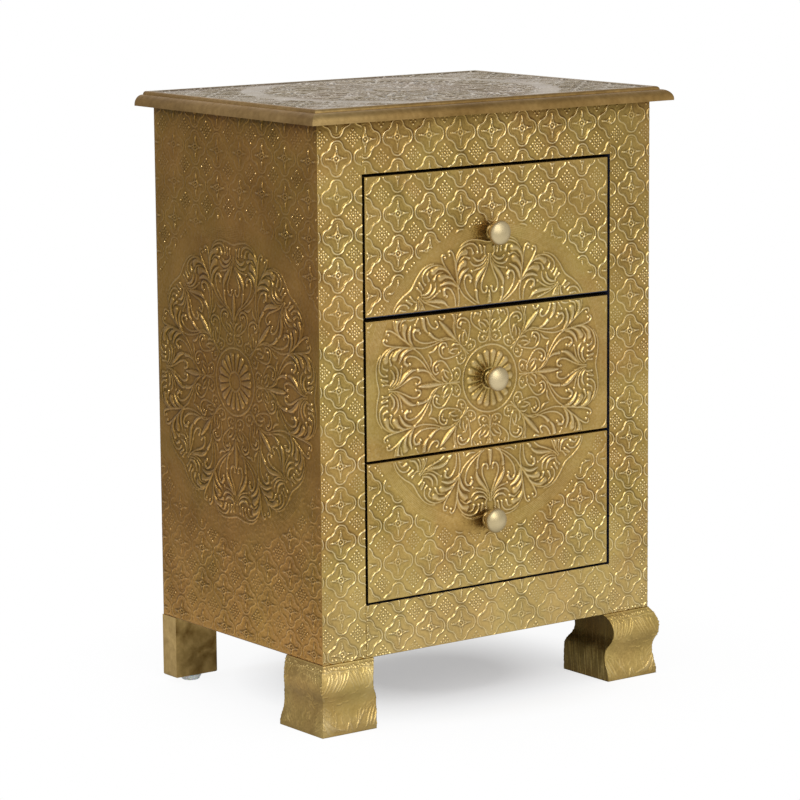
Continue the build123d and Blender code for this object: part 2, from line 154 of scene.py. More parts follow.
# Each stroke is kind, half width where thin, half width where fat, points. A bead is kind, radius,
# height and place.
STROKES = [
    # curls against the ring
    ("vine", 0.5, 0.9, [(1, 47), (2, 40.5), (6, 37.2), (11.5, 37.2), (14.4, 40.5), (13.2, 44.2)]),
    ("comma", 0.4, 1.0, [(1.4, 49.5), (4, 46.4), (6.8, 47.4)]),
    ("comma", 0.4, 0.9, [(4.2, 41.5), (6.5, 43.2), (9, 41.4)]),
    ("bead", 1.3, 1.0, [(12, 46)]),
    ("bead", 1.1, 0.9, [(7.6, 39.9)]),
    ("leaf", 0.4, 1.0, [(10.5, 50.5), (13.5, 56.5), (12, 60.5)]),
    ("leaf", 0.4, 1.1, [(4.5, 51.5), (8.5, 55.5), (15, 58)]),
    # stem and bud on the axis
    ("vine", 0.9, 0.9, [(0, 38), (0, 64)]),
    ("leaf", 0.9, 3.1, [(0, 60), (0, 74), (0, 87.5)]),
    ("leaf", 0.4, 1.2, [(1, 53), (3.5, 57.5), (7.5, 59)]),
    # double scroll towards the trunk
    ("vine", 0.7, 1.25, [(7.5, 46.5), (14, 50.5), (20.5, 55.5), (23.3, 60.5), (22.3, 66.5),
        (18.5, 70.3), (13.5, 70.3), (10.5, 67.2), (11.8, 63.6)]),
    ("comma", 0.6, 1.5, [(20, 62), (17.5, 66.3), (14.5, 65.8)]),
    ("leaf", 0.4, 1.3, [(18.5, 73), (25, 72.8), (30.5, 76)]),
    # lines that leave the stem for the scroll and the trunk
    ("vine", 0.6, 0.9, [(1, 58), (5, 66.5), (12, 72.3), (21, 77.2), (30.5, 84), (36, 90.5), (39.5, 97.5)]),
    ("vine", 0.7, 1.0, [(1.5, 62), (7, 71), (16.2, 77.3), (24.3, 84), (29.7, 91.5), (31.3, 98.5)]),
    ("comma", 1.0, 2.2, [(30.6, 94.5), (31.5, 99), (29.5, 104), (25.4, 105), (22.8, 101.8)]),
    ("bead", 1.9, 1.0, [(23.4, 98.3)]),
    ("comma", 0.5, 2.3, [(5.5, 66.5), (11.5, 73), (15.6, 81), (16.4, 88.4)]),
    # pendant
    ("vine", 0.9, 1.3, [(0.9, 124), (1.3, 117), (3.4, 110.5), (6.6, 103.5), (9.6, 97), (10.2, 91),
        (8, 86.6), (4.4, 86.2), (2.9, 89.2)]),
    ("bead", 1.6, 1.0, [(3.1, 91)]),
    ("leaf", 0.5, 2.9, [(3, 114.5), (8, 108.8), (13.6, 102.5), (16.8, 96.5), (17.2, 90.8)]),
    # feathers
    ("leaf", 0.4, 1.2, [(1.8, 119), (6, 113.6), (12, 110.5), (20.5, 108.6)]),
    ("bead", 1.4, 0.9, [(21.8, 108.2)]),
    ("leaf", 0.4, 1.5, [(2.5, 121.5), (7.5, 115.8), (14, 113.4), (20, 114.4), (24.2, 118.2)]),
    ("leaf", 0.4, 1.9, [(3.5, 123.5), (9, 119), (15, 118.4), (20, 121.6)]),
    # trunk and its hooked tip
    ("vine", 1.4, 1.0, [(38.9, 92.5), (40, 102), (41.6, 112), (43, 121), (45.2, 128), (48.4, 130.6),
        (50.6, 129)]),
    ("bead", 1.7, 1.0, [(49.2, 126.3)]),
    # lobes of the acanthus
    ("leaf", 0.5, 2.4, [(38, 95.5), (36.8, 102.5), (32.5, 108), (25.5, 111.8)]),
    ("comma", 0.8, 4.3, [(40, 99), (39.6, 107), (36.2, 113.5), (31.6, 117)]),
    ("comma", 0.8, 4.0, [(41.5, 110), (40.6, 119), (36, 126), (29.6, 127.8)]),
    ("comma", 0.6, 1.7, [(37.5, 118.5), (31, 123), (25, 121.6)]),
    ("vine", 0.8, 1.0, [(42, 114), (40.6, 124), (34.5, 132), (26.5, 135.6), (19.4, 135.2), (15, 131),
        (14.4, 127.4)]),
    ("bead", 1.6, 1.0, [(14.6, 126.4)]),
    ("comma", 0.5, 1.8, [(27, 131.6), (22.6, 131.2), (20.4, 126.2)]),
    # crest
    ("vine", 0.6, 0.9, [(36, 133.2), (30, 137.3), (22, 139.4), (12, 138.7), (5, 137), (0, 136.2)]),
    ("comma", 0.4, 1.3, [(1.8, 120), (5.5, 125), (5.8, 131.4)]),
    ("comma", 0.4, 1.5, [(4.5, 121.5), (9.2, 131), (11.4, 133), (9.6, 126)]),
]

# A quarter of the lattice's barbed quatrefoil, about its centre, then what fills it and the
# cluster of beads between four of them. Beads are radius, height, x, y.
LATTICE_CELL = 0.2
OUTLINE = [(17.8, 0), (17.4, 2.2), (16.4, 4.4), (14.6, 6.1), (12.4, 7.1), (10.2, 7.9), (9.1, 9.1),
           (7.9, 10.2), (7.1, 12.4), (6.1, 14.6), (4.4, 16.4), (2.2, 17.4), (0, 17.8)]
INNER_LINE = 0.86  # size of the second outline, as a share of the first
HEART = 1.1  # radius of the bead in the middle
STAR = [(0, 12.2), (0.5, 7.6), (1.5, 4.0), (2.4, 2.4), (4.0, 1.5), (7.6, 0.5), (12.2, 0)]
RING = [(3.2, 0), (2.26, 2.26), (0, 3.2)]
BUD = [(0, 6.9), (0, 8.3), (0, 9.7)]
CLUSTER_BEADS = [(1.1, 0.9, 0, 0), (0.9, 0.75, 0, 3.3), (0.9, 0.75, 2.35, 2.35), (1.35, 1.0, 0, 8.2),
                 (1.05, 0.85, 2.6, 5.4), (1.05, 0.85, 5.4, 2.6)]


def reflect(points):
    """Mirror image about the line between two motifs."""
    normal = np.array([math.cos(SECTOR), -math.sin(SECTOR)])
    return points - 2 * (points @ normal)[:, None] * normal


def press_medallion():
    """Half a motif of the medallion, with what its mirror images send across its two borders."""
    plate = Plate(*MEDALLION_GRID)
    for kind, thin, fat, points in STROKES:
        base = np.array(points, float)
        for turned in (base, base * [-1, 1], reflect(base)):
            if kind == "bead":
                plate.press(turned, thin, fat)
                continue
            path = smooth_path(turned)
            width = thin + (fat - thin) * PROFILES[kind](np.linspace(0, 1, len(path)))
            plate.press(path, width, 0.5 + 0.45 * np.clip(width / 2.0, 0, 1))
            if kind == "comma":
                plate.press(path[-1:], 0.4 + 0.9 * fat, 1.0)
    plate.h = blur(plate.h, 1.0)
    return plate


def press_lattice(line_height, bead_height):
    """One tile of the lattice, with its outlines and its beads and buds raised by the given shares."""
    plate = Plate((0, 0), (PITCH, PITCH), LATTICE_CELL)
    lines = (  # points, half width, height
        (OUTLINE, 0.95, 0.9 * line_height),
        (np.array(OUTLINE) * INNER_LINE, 0.6, 0.4 * line_height),
        (STAR, 0.7, 0.6),
        (RING, 0.8, 0.85),
        (BUD, 1.05, 0.95 * bead_height),
    )
    corners = [np.array([i, j]) * PITCH for i in (0, 1) for j in (0, 1)]
    for turn in range(4):
        c, s = round(math.cos(turn * math.pi / 2)), round(math.sin(turn * math.pi / 2))
        spin = np.array([[c, s], [-s, c]])
        for centre in corners:
            for points, width, height in lines:
                path = smooth_path(points) @ spin + centre
                plate.press(path, width, height)
            plate.press(centre[None, :], HEART, 0.95 * bead_height)
        for width, height, x, y in CLUSTER_BEADS:
            plate.press(np.array([[x, y]]) @ spin + PITCH / 2, width, height * bead_height)
    plate.h = blur(plate.h, 0.8)
    return plate


MEDALLION = press_medallion()
LATTICE = press_lattice(1.0, 1.0)
SIDE_LATTICE = press_lattice(0.55, 1.3)


def medallion(x, y):
    """Height, 0 to 1, of the round ornament about its centre."""
    r = np.hypot(x, y)
    angle = np.arctan2(x, y)
    a = np.abs(np.mod(angle + SECTOR, 2 * SECTOR) - SECTOR)
    h = MEDALLION.sample(r * np.sin(a), r * np.cos(a)) * (r > STROKES_FROM)
    for radius, width, height in (RING_LINE, EYE_LINE):
        h = np.maximum(h, height * dome(r - radius, width))
    g = np.abs(np.mod(angle, 2 * PETAL) - PETAL)
    gx, gy = r * np.sin(g), r * np.cos(g)
    along = np.clip(gy, *PETAL_REACH)
    width = along * math.tan(PETAL_FILL * PETAL)
    rise = 0.35 + 0.6 * smoothstep(9, 27, gy)
    h = np.maximum(h, rise * dome(np.hypot(gx, gy - along), width))
    fine = 0.07 * (1 + np.cos(2 * np.pi * r / TURNED_PITCH)) * (1 + 0.8 * np.sin(5 * angle + 1))
    h += fine * smoothstep(*TURNED_SPAN[:2], r) * (1 - smoothstep(*TURNED_SPAN[2:], r))
    return h


def lattice(u, v, lay, tile):
    """Height of the lattice; lay is the middle of a quatrefoil, the pitch across and up, the tilt
    in degrees and how deeply it is pressed."""
    u0, v0, across, up, tilt, press = lay
    c, s = math.cos(math.radians(tilt)), math.sin(math.radians(tilt))
    x, y = (u - u0) * c + (v - v0) * s, (v - v0) * c - (u - u0) * s
    x = x + WOBBLE * np.sin(y / 31 + x / 83)
    y = y + WOBBLE * np.sin(x / 37 + 1.1)
    wear_seed = round(u0) % 97 + 5
    worn = 1.12 - WEAR * smoothstep(0.35, 0.95, waviness(1.7 * u, 1.7 * v, wear_seed))
    return press * worn * tile.sample(np.mod(x * PITCH / across, PITCH), np.mod(y * PITCH / up, PITCH))


def pattern(u, v, disc, lay, tile, band=(BAND_EDGE, 0.0)):
    """Height of a sheet's ornament: the lattice round a medallion centred on disc. band is the
    radius where the lattice starts, and how far the centre of that circle is off to the right."""
    edge, shift = band
    r = np.hypot(u - disc[0] - shift, v - disc[1])
    return medallion(u - disc[0], v - disc[1]) + lattice(u, v, lay, tile) * smoothstep(edge, edge + 2, r)


def waviness(u, v, seed):
    """Slow undulation of hand-nailed thin sheet, 0 to 1."""
    local = np.random.default_rng(seed)
    total = np.zeros_like(u)
    for length in WAVES:
        turn, shift = local.uniform(0, 2 * np.pi, 2)
        total += length / 200 * np.sin(2 * np.pi * (u * np.cos(turn) + v * np.sin(turn)) / length + shift)
    return 0.5 + 0.5 * np.tanh(total)


# --- Meshes -----------------------------------------------------------

RELIEF = 1.3  # depth of the embossing
SWELL = 0.25  # depth of the waviness
GRAIN, GRAIN_SIZE = 0.028, 0.8  # share of the relief and size of the hammered grain
PLATE = 1.6  # thickness of the sheet's envelope in the frame
FOLD_GAP, REAR_GAP = 0.4, 0.35  # a folded edge is thinner by that, and the rear lies that far behind
EDGE_STATIONS = np.array([0, 0.1, 0.3, 0.6, 1.0, 1.5])  # mesh lines in from a sheet's edge
BORDER_FADE = 0.7  # the ornament fades out over twice this at its border
SOFTEN_GAIN = 1.15  # makes up for the height that softening takes
RIM = (1.0, 3.5)  # in from the edge, where a raised rim starts to fall and ends
DRAWN, DRAWN_SIZE = 0.12, 2.5  # metal drawn up round a ridge: share of its height, and how far
GRAIN_SEED = 100  # added to a sheet's own seed
RIDGE_TONE, RIDGE_SIZE = 1.4, 1.3  # painted highlight: how much brighter a ridge is than the metal within that distance
CROWD_TONE, CROWD_SIZE = 0.35, 4.5  # painted shade, partly patina: how much darker a hollow is among ridges within that distance
SHADE_AND_DIRT_TONE = 0.5  # how much darker a place is at full painted shade and dirt
EDGE_TONE = 0.45  # tone of the folded edges
EDGE_UV, FACE_UV = 0.08, 0.92  # strip of the UV square for the edges, and the rest for the face
RING_UV, RING_UV_STEP = 0.06, 0.015  # the first ring's place in that strip, and how far on the next is


def add_object(name, data):
    """A new object in the scene, of that mesh, lamp or camera."""
    made = bpy.data.objects.new(name, data)
    bpy.context.scene.collection.objects.link(made)
    return made


def new_object(name, points, faces, smooth, uv, tone, material):
    """A mesh object from arrays. faces are rows of four corners; a triangle repeats its last one."""
    mesh = bpy.data.meshes.new(name)
    mesh.vertices.add(len(points))
    mesh.vertices.foreach_set("co", (points * MM).astype(np.float32).ravel())
    corner = np.ones(faces.shape, bool)
    corner[:, 3] = faces[:, 3] != faces[:, 2]
    loops = faces[corner]
    mesh.loops.add(len(loops))
    mesh.loops.foreach_set("vertex_index", loops.astype(np.int32))
    mesh.polygons.add(len(faces))
    sizes = corner.sum(1)
    starts = np.concatenate([[0], np.cumsum(sizes)[:-1]])
    mesh.polygons.foreach_set("loop_start", starts.astype(np.int32))
    mesh.polygons.foreach_set("use_smooth", smooth)
    mesh.update(calc_edges=True)
    layer = mesh.uv_layers.new(name="OFBake")
    layer.data.foreach_set("uv", uv[loops].astype(np.float32).ravel())
    attribute = mesh.attributes.new("tone", "FLOAT", "POINT")
    attribute.data.foreach_set("value", tone.astype(np.float32))
    mesh.validate()
    mesh.materials.append(material)
    return add_object(name, mesh)


def grid_line(low, high, step):
    """Stations across a sheet: close together at both rounded edges."""
    edge = EDGE_STATIONS[-1]
    n = int(round((high - low - 2 * edge) / step))
    middle = np.linspace(low + edge, high - edge, n + 1)[1:-1]
    return np.concatenate([low + EDGE_STATIONS, middle, high - EDGE_STATIONS[::-1]])


def press_sheet(u, v, edges, step, height, border, fold, seed, soil=None, grained=1.0, soften=0.0,
                rim=False):
    """Depth below the envelope's face and tone, at each point of a sheet's grid. edges are the
    distances from the nearer edge along u and along v. height gives the ornament, which starts a
    border's width in. fold is the radius of the folded edges, soil how much painted shade and dirt
    darken a place, 0 to 1, and soften a blur of the ornament. grained scales the grain, and rim raises the
    outermost strip."""
    margin = np.minimum(*edges)
    raised = height(u, v) * smoothstep(border - BORDER_FADE, border + BORDER_FADE, margin)
    if soften:
        raised = SOFTEN_GAIN * blur(raised, soften / step)
    if rim:
        raised = np.maximum(raised, 1 - smoothstep(*RIM, margin))
    grain = blur(np.random.default_rng(GRAIN_SEED + seed).normal(0, 1, u.shape), GRAIN_SIZE / step)
    drawn = DRAWN * blur(raised, DRAWN_SIZE / step)
    raised = np.clip(raised + drawn + grained * GRAIN * grain / grain.std(), 0, 1)
    swell = waviness(u, v, seed)
    bend = sum(fold - np.sqrt(fold**2 - np.clip(fold - e, 0, fold) ** 2) for e in edges)
    depth = RELIEF * (1 - raised) + SWELL * swell * (1 - raised) + np.minimum(bend, fold)
    # tone: a painted highlight on the ridges, painted shade just beside them and, partly patina, in the
    # hollows among crowded ridges
    crowd = blur(raised, CROWD_SIZE / step)
    ridge = np.clip(RIDGE_TONE * (raised - blur(raised, RIDGE_SIZE / step)), -0.5, 0.6)
    tone = 0.5 + ridge - CROWD_TONE * crowd * (1 - raised)
    # painted shade, and on the front also dirt beside the knobs
    if soil is not None:
        tone = tone - SHADE_AND_DIRT_TONE * soil(u, v)
    return depth, tone


def close_sheet(plan, us, vs, face, back):
    """The whole sheet from its pressed face: points along u, v and the normal, faces, UVs, and how
    many faces the pressed one has. Where the rear edge lies far back, the edges are folded."""
    index = np.arange(len(plan)).reshape(len(vs), len(us))
    quads = np.stack([index[:-1, :-1], index[:-1, 1:], index[1:, 1:], index[1:, :-1]], -1).reshape(-1, 4)
    loop = np.concatenate([index[0, :-1], index[:-1, -1], index[-1, :0:-1], index[:0:-1, 0]])
    inset = PLATE - FOLD_GAP
    rear = face - PLATE - REAR_GAP
    folded = back < rear - 1
    rings = [(0, back)] + ([(inset, back), (inset, rear)] if folded else [])
    points, faces, previous = [plan], [quads], loop
    first = len(plan)
    around = np.linspace(0, 1, len(loop))
    across = (plan[:, 0] - us[0]) / (us[-1] - us[0])
    uvs = [np.stack([across, EDGE_UV + FACE_UV * (plan[:, 1] - vs[0]) / (vs[-1] - vs[0])], 1)]
    for k, (shift, place) in enumerate(rings):
        ring = plan[loop].copy()
        ring[:, 0] = np.clip(ring[:, 0], us[0] + shift, us[-1] - shift)
        ring[:, 1] = np.clip(ring[:, 1], vs[0] + shift, vs[-1] - shift)
        ring[:, 2] = place
        here = first + np.arange(len(loop))
        first += len(loop)
        faces.append(np.stack([previous, here, np.roll(here, -1), np.roll(previous, -1)], 1))
        points.append(ring)
        uvs.append(np.stack([around, np.full(len(loop), RING_UV - RING_UV_STEP * k)], 1))
        previous = here
    points.append(np.array([[(us[0] + us[-1]) / 2, (vs[0] + vs[-1]) / 2, rings[-1][1]]]))
    uvs.append(np.array([[0.5, 0.0]]))
    hub = np.full(len(loop), first)
    faces.append(np.stack([previous, hub, np.roll(previous, -1), np.roll(previous, -1)], 1))
    return np.vstack(points), np.vstack(faces), np.vstack(uvs), len(quads)


def relief_sheet(name, body, plane, u_range, v_range, face, back, step, material, **pressing):
    """A closed embossed sheet. plane holds the unit vectors along u, v and the outward normal;
    face and back are the places of the outer envelope and of the rear edge along the normal, and
    step is the spacing of the mesh. pressing is what press_sheet takes."""
    us, vs = grid_line(*u_range, step), grid_line(*v_range, step)
    u, v = np.meshgrid(us, vs)
    edges = np.minimum(u - us[0], us[-1] - u), np.minimum(v - vs[0], vs[-1] - v)
    depth, tone = press_sheet(u, v, edges, step, **pressing)
    plan = np.stack([u.ravel(), v.ravel(), face - depth.ravel()], 1)
    flat, faces, uv, pressed = close_sheet(plan, us, vs, face, back)
    axes = np.array(plane, float)
    points = flat[:, :1] * axes[0] + flat[:, 1:2] * axes[1] + flat[:, 2:] * axes[2]
    if np.dot(np.cross(axes[0], axes[1]), axes[2]) < 0:
        faces = faces[:, ::-1]
        triangle = faces[:, 0] == faces[:, 1]
        faces[triangle] = np.roll(faces[triangle], -1, axis=1)
    tones = np.full(len(points), EDGE_TONE)
    tones[: tone.size] = tone.ravel()
    smooth = np.arange(len(faces)) < pressed
    made = new_object(name, points, faces, smooth, uv, tones, material)
    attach(made, body)
    return made


# --- Materials --------------------------------------------------------

class Graph:
    """Short hand for building a node tree."""

    def __init__(self, tree, place="Object"):
        self.tree = tree
        self.place = self.add("ShaderNodeTexCoord").outputs[place]

    def add(self, kind, **values):
        """A new node of that kind, with its settings."""
        node = self.tree.nodes.new(kind)
        for key, value in values.items():
            setattr(node, key, value)
        return node

    def link(self, source, target):
        self.tree.links.new(source, target)

    def feed(self, socket, value):
        """Set a socket to a number or a colour, or link it to another socket."""
        if isinstance(value, (int, float)):
            socket.default_value = value
        elif isinstance(value, tuple):
            socket.default_value = (*value, 1)
        else:
            self.link(value, socket)

    def noise(self, scale, detail=3.0, stretch=None, distortion=0.0):
        """Noise of that scale, with the three axes scaled first by stretch."""
        node = self.add("ShaderNodeTexNoise")
        node.inputs["Scale"].default_value = scale
        node.inputs["Detail"].default_value = detail
        node.inputs["Distortion"].default_value = distortion
        source = self.place
        if stretch:
            mapping = self.add("ShaderNodeMapping")
            mapping.inputs["Scale"].default_value = stretch
            self.link(source, mapping.inputs["Vector"])
            source = mapping.outputs["Vector"]
        self.link(source, node.inputs["Vector"])
        return node.outputs["Fac"]

    def ramp(self, source, stops):
        """Colour by position, from stops of position and colour."""
        node = self.add("ShaderNodeValToRGB")
        self.link(source, node.inputs["Fac"])
        elements = node.color_ramp.elements
        while len(elements) < len(stops):
            elements.new(0.5)
        for element, (position, colour) in zip(elements, stops):
            element.position = position
            element.color = (*colour, 1)
        return node.outputs["Color"]

    def remap(self, source, low, high, to_low, to_high):
        """The range low to high, mapped to another range and clamped to it."""
        node = self.add("ShaderNodeMapRange")
        for socket, value in zip(("From Min", "From Max", "To Min", "To Max"), (low, high, to_low, to_high)):
            node.inputs[socket].default_value = value
        self.link(source, node.inputs["Value"])
        return node.outputs["Result"]

    def blend(self, factor, first, second, mode="MIX"):
        """Mix of two colours, each a socket or a tuple."""
        node = self.add("ShaderNodeMix", data_type="RGBA", blend_type=mode)
        for index, value in ((0, factor), (6, first), (7, second)):
            self.feed(node.inputs[index], value)
        return node.outputs[2]

    def calc(self, first, second, operation="ADD"):
        """Sum, or another operation, of two sockets or numbers."""
        node = self.add("ShaderNodeMath", operation=operation)
        for socket, value in zip(node.inputs, (first, second)):
            self.feed(socket, value)
        return node.outputs[0]

    def mix(self, *sources):
        """Mix of two shaders; sources are the factor and both."""
        node = self.add("ShaderNodeMixShader")
        for socket, source in zip(node.inputs, sources):
            self.link(source, socket)
        return node.outputs[0]

    def rays(self):
        """Whether a ray comes from the camera, and whether it is mirrored or refracted."""
        path = self.add("ShaderNodeLightPath").outputs
        return path["Is Camera Ray"], self.calc(path["Is Glossy Ray"], path["Is Transmission Ray"], "MAXIMUM")

    def vector(self, operation, source, fixed=(0, 0, 0)):
        """Number worked out from a vector, and from a fixed one."""
        node = self.add("ShaderNodeVectorMath", operation=operation)
        node.inputs[1].default_value = fixed
        self.link(source, node.inputs[0])
        return node.outputs["Value"]

    def along(self, source, direction):
        """Dot product of a vector with a fixed direction."""
        return self.vector("DOT_PRODUCT", source, direction)


class Nodes(Graph):
    """A material built round a Principled shader."""

    def __init__(self, name):
        self.material = bpy.data.materials.new(name)
        self.material.use_nodes = True
        super().__init__(self.material.node_tree)
        self.shader = self.tree.nodes["Principled BSDF"]

    def bump(self, source, strength, distance):
        node = self.add("ShaderNodeBump")
        node.inputs["Strength"].default_value = strength
        node.inputs["Distance"].default_value = distance
        self.link(source, node.inputs["Height"])
        self.link(node.outputs["Normal"], self.shader.inputs["Normal"])

    def finish(self, colour, roughness, metallic=0.0):
        self.link(colour, self.shader.inputs["Base Color"])
        self.link(roughness, self.shader.inputs["Roughness"])
        self.shader.inputs["Metallic"].default_value = metallic
        return self.material


# a paler colour for painted light from the floor, and a dark brown towards the front's upper right
PAINTED_FLOOR_LIGHT, DARKER_BROWN = (0.80, 0.62, 0.27), (0.20, 0.11, 0.035)
PALE_SPAN = (0.19, 0.07)  # metres up, where the painted floor light on a sheet starts and is strongest
DARKENING_WAY, DARKENING_SPAN = (0.8, 0, 0.6), (0.36, 0.52)  # towards the darker corner, and metres along
LEFT_END = (0.12, 0.224)  # metres to the left, where a moulding's painted highlight starts and ends


def embossed_brass(name, hollow, flat, ridge, tarnish, rough, pale=0.0, darker_up_right=0.0, shine=0.04):
    """Antiqued embossed sheet. The tone attribute is low in the hollows and high on the ridges, and
    picks the colour: a painted highlight on the ridges, painted shade with patina in the hollows.
    tarnish is the stains' two colours and one between them, shine how much smoother ridges are. pale
    makes it paler near the floor, painted light from the floor, and dirty darkens it towards the upper
    right of the front."""
    m = Nodes(name)
    tone = m.add("ShaderNodeAttribute", attribute_name="tone").outputs["Fac"]
    worn = m.calc(tone, m.remap(m.noise(420, 2), 0.3, 0.7, -0.05, 0.05))
    # the ridge colour is a painted highlight, the hollow colour painted shade with patina
    colour = m.ramp(worn, [(0.10, hollow), (0.46, flat), (0.90, ridge)])
    stain = m.ramp(m.noise(11, 4, distortion=0.8),
                   [(0.38, tarnish[0]), (0.50, tarnish[2]), (0.62, tarnish[1])])
    colour = m.blend(0.30, colour, stain)
    cloud = m.ramp(m.noise(24, 4, distortion=0.4), [(0.32, (0.76, 0.73, 0.66)), (0.68, (1, 1, 1))])
    colour = m.blend(1.0, colour, cloud, "MULTIPLY")
    # paler near the floor: painted light from the floor
    colour = m.blend(m.remap(m.along(m.place, (0, 0, 1)), *PALE_SPAN, 0, pale), colour, PAINTED_FLOOR_LIGHT)
    # darker towards the upper right of the front
    colour = m.blend(m.remap(m.along(m.place, DARKENING_WAY), *DARKENING_SPAN, 0, darker_up_right), colour, DARKER_BROWN)
    gloss = m.calc(m.remap(tone, 0.2, 0.9, rough + 0.10, rough - shine),
                   m.remap(m.noise(60, 4), 0.3, 0.7, -0.05, 0.05))
    m.bump(m.noise(260, 5, distortion=0.4), 0.5, 0.0007)
    return m.finish(colour, gloss, 1.0)


def plain_brass(name, low, high, rough, scale=14, edge=None, worn=None):
    """Satin sheet, clouded between two colours. edge is the colour of the faces that look sideways, a
    painted light on them, and worn that of the left end, a painted highlight, where they differ."""
    m = Nodes(name)
    colour = m.ramp(m.noise(scale, 5, distortion=0.5), [(0.32, low), (0.68, high)])
    # painted highlight at the left end
    if worn is not None:
        colour = m.blend(m.remap(m.along(m.place, (-1, 0, 0)), *LEFT_END, 0, 0.6), colour, worn)
    # painted light on the faces that look sideways
    if edge is not None:
        normal = m.add("ShaderNodeNewGeometry").outputs["Normal"]
        sideways = m.calc(m.along(normal, (1, 0, 0)), 0.0, "ABSOLUTE")
        colour = m.blend(m.remap(sideways, 0.6, 0.9, 0, 0.75), colour, edge)
    fine = m.ramp(m.noise(180, 3), [(0.35, (0.82, 0.80, 0.76)), (0.65, (1, 1, 1))])
    colour = m.blend(1.0, colour, fine, "MULTIPLY")
    m.bump(m.noise(55, 3), 0.35, 0.0006)
    return m.finish(colour, m.remap(m.noise(70, 4), 0.3, 0.7, rough - 0.06, rough + 0.08), 1.0)


ACROSS_GRAIN, ALONG_GRAIN = 60.0, 2.6  # scale of the fibres


def wood(name, dark, light, axis, rough=0.62):
    """Timber with the grain along axis, 0 to 2."""
    m = Nodes(name)
    stretch = [ACROSS_GRAIN] * 3
    stretch[axis] = ALONG_GRAIN
    grain = m.noise(1.0, 6, stretch=stretch, distortion=0.9)
    fibre = m.noise(6.0, 3, stretch=stretch)
    colour = m.ramp(grain, [(0.33, dark), (0.62, light)])
    streak = m.ramp(fibre, [(0.4, (0.78, 0.74, 0.70)), (0.6, (1, 1, 1))])
    m.bump(fibre, 0.25, 0.0004)
    return m.finish(m.blend(1.0, colour, streak, "MULTIPLY"), m.remap(grain, 0.3, 0.7, rough, rough - 0.1))


def simple(name, low, high, scale, rough, metallic):
    """Even material, clouded between two colours."""
    m = Nodes(name)
    colour = m.ramp(m.noise(scale, 4), [(0.35, low), (0.65, high)])
    m.bump(m.noise(scale * 6, 2), 0.15, 0.0002)
    return m.finish(colour, m.remap(m.noise(scale * 2, 3), 0.3, 0.7, rough - 0.05, rough + 0.05), metallic)


# Colours of the embossed sheets: hollow, flat and ridge, then the stains. Ridge colours are a painted
# highlight, hollow ones painted shade with patina; the side's are a darker copy, painted shade, and
# the top's a greyer copy, partly a painted reflection of the white background
FRONT_BRASS = (0.13, 0.075, 0.020), (0.51, 0.345, 0.105), (0.82, 0.68, 0.40)
SIDE_BRASS = (0.055, 0.029, 0.007), (0.48, 0.258, 0.058), (0.66, 0.44, 0.19)
TOP_BRASS = (0.07, 0.044, 0.020), (0.46, 0.355, 0.24), (0.80, 0.69, 0.54)
FOOT_BRASS = (0.13, 0.072, 0.020), (0.73, 0.53, 0.19), (0.90, 0.73, 0.40)
STAINS = (0.50, 0.27, 0.080), (0.46, 0.355, 0.095), (0.46, 0.30, 0.085)
SIDE_STAINS = (0.46, 0.22, 0.065), (0.40, 0.255, 0.055), (0.43, 0.235, 0.06)
TOP_STAINS = (0.46, 0.35, 0.26), (0.42, 0.35, 0.20), (0.44, 0.35, 0.23)

EMBOSSED = embossed_brass("embossed_brass_front", *FRONT_BRASS, STAINS, 0.28, pale=0.30, darker_up_right=0.25)
# darker copy for the sides, painted shade; greyer copy for the top, partly a painted reflection
EMBOSSED_SIDE = embossed_brass("embossed_brass_side", *SIDE_BRASS, SIDE_STAINS, 0.33, shine=0.12)
EMBOSSED_TOP = embossed_brass("embossed_brass_top", *TOP_BRASS, TOP_STAINS, 0.26)
# the front moulding's brass, with a painted highlight at its left end
PLAIN = plain_brass("plain_brass_satin", (0.28, 0.165, 0.050), (0.42, 0.265, 0.095), 0.36,
                    worn=(0.66, 0.47, 0.20))
# a lighter copy of the moulding brass for the side mouldings: painted light
SIDE_MOULDING = plain_brass("side_moulding_brass", (0.36, 0.215, 0.075), (0.52, 0.33, 0.13), 0.48)
# the back legs' wrap, whose faces that look sideways get painted light
LEG = plain_brass("leg_brass_cloudy", (0.25, 0.142, 0.033), (0.80, 0.55, 0.20), 0.38, scale=42,
                  edge=(0.54, 0.375, 0.145))
FOOT = embossed_brass("foot_brass_dull", *FOOT_BRASS, STAINS, 0.40)
KNOB = simple("knob_brass_pale", (0.53, 0.43, 0.24), (0.61, 0.50, 0.295), 60, 0.46, 1.0)
PLASTIC = simple("glide_plastic", (0.84, 0.82, 0.79), (0.90, 0.88, 0.85), 90, 0.35, 0.0)
PLASTIC.node_tree.nodes["Principled BSDF"].inputs["Subsurface Weight"].default_value = 0.3
STEEL = simple("screw_steel", (0.42, 0.41, 0.39), (0.58, 0.57, 0.54), 300, 0.35, 1.0)
# near-black navy for the front frame and drawer fronts, which the gaps between them show
NAVY = simple("gap_dark_navy", (0.010, 0.013, 0.028), (0.020, 0.024, 0.045), 60, 0.55, 0.0)
TIMBERS = {
    "case_wood": ((0.075, 0.042, 0.022), (0.15, 0.088, 0.046)),
    "drawer_wood": ((0.26, 0.155, 0.075), (0.42, 0.27, 0.14)),
    "plywood": ((0.30, 0.19, 0.10), (0.45, 0.31, 0.17)),
}
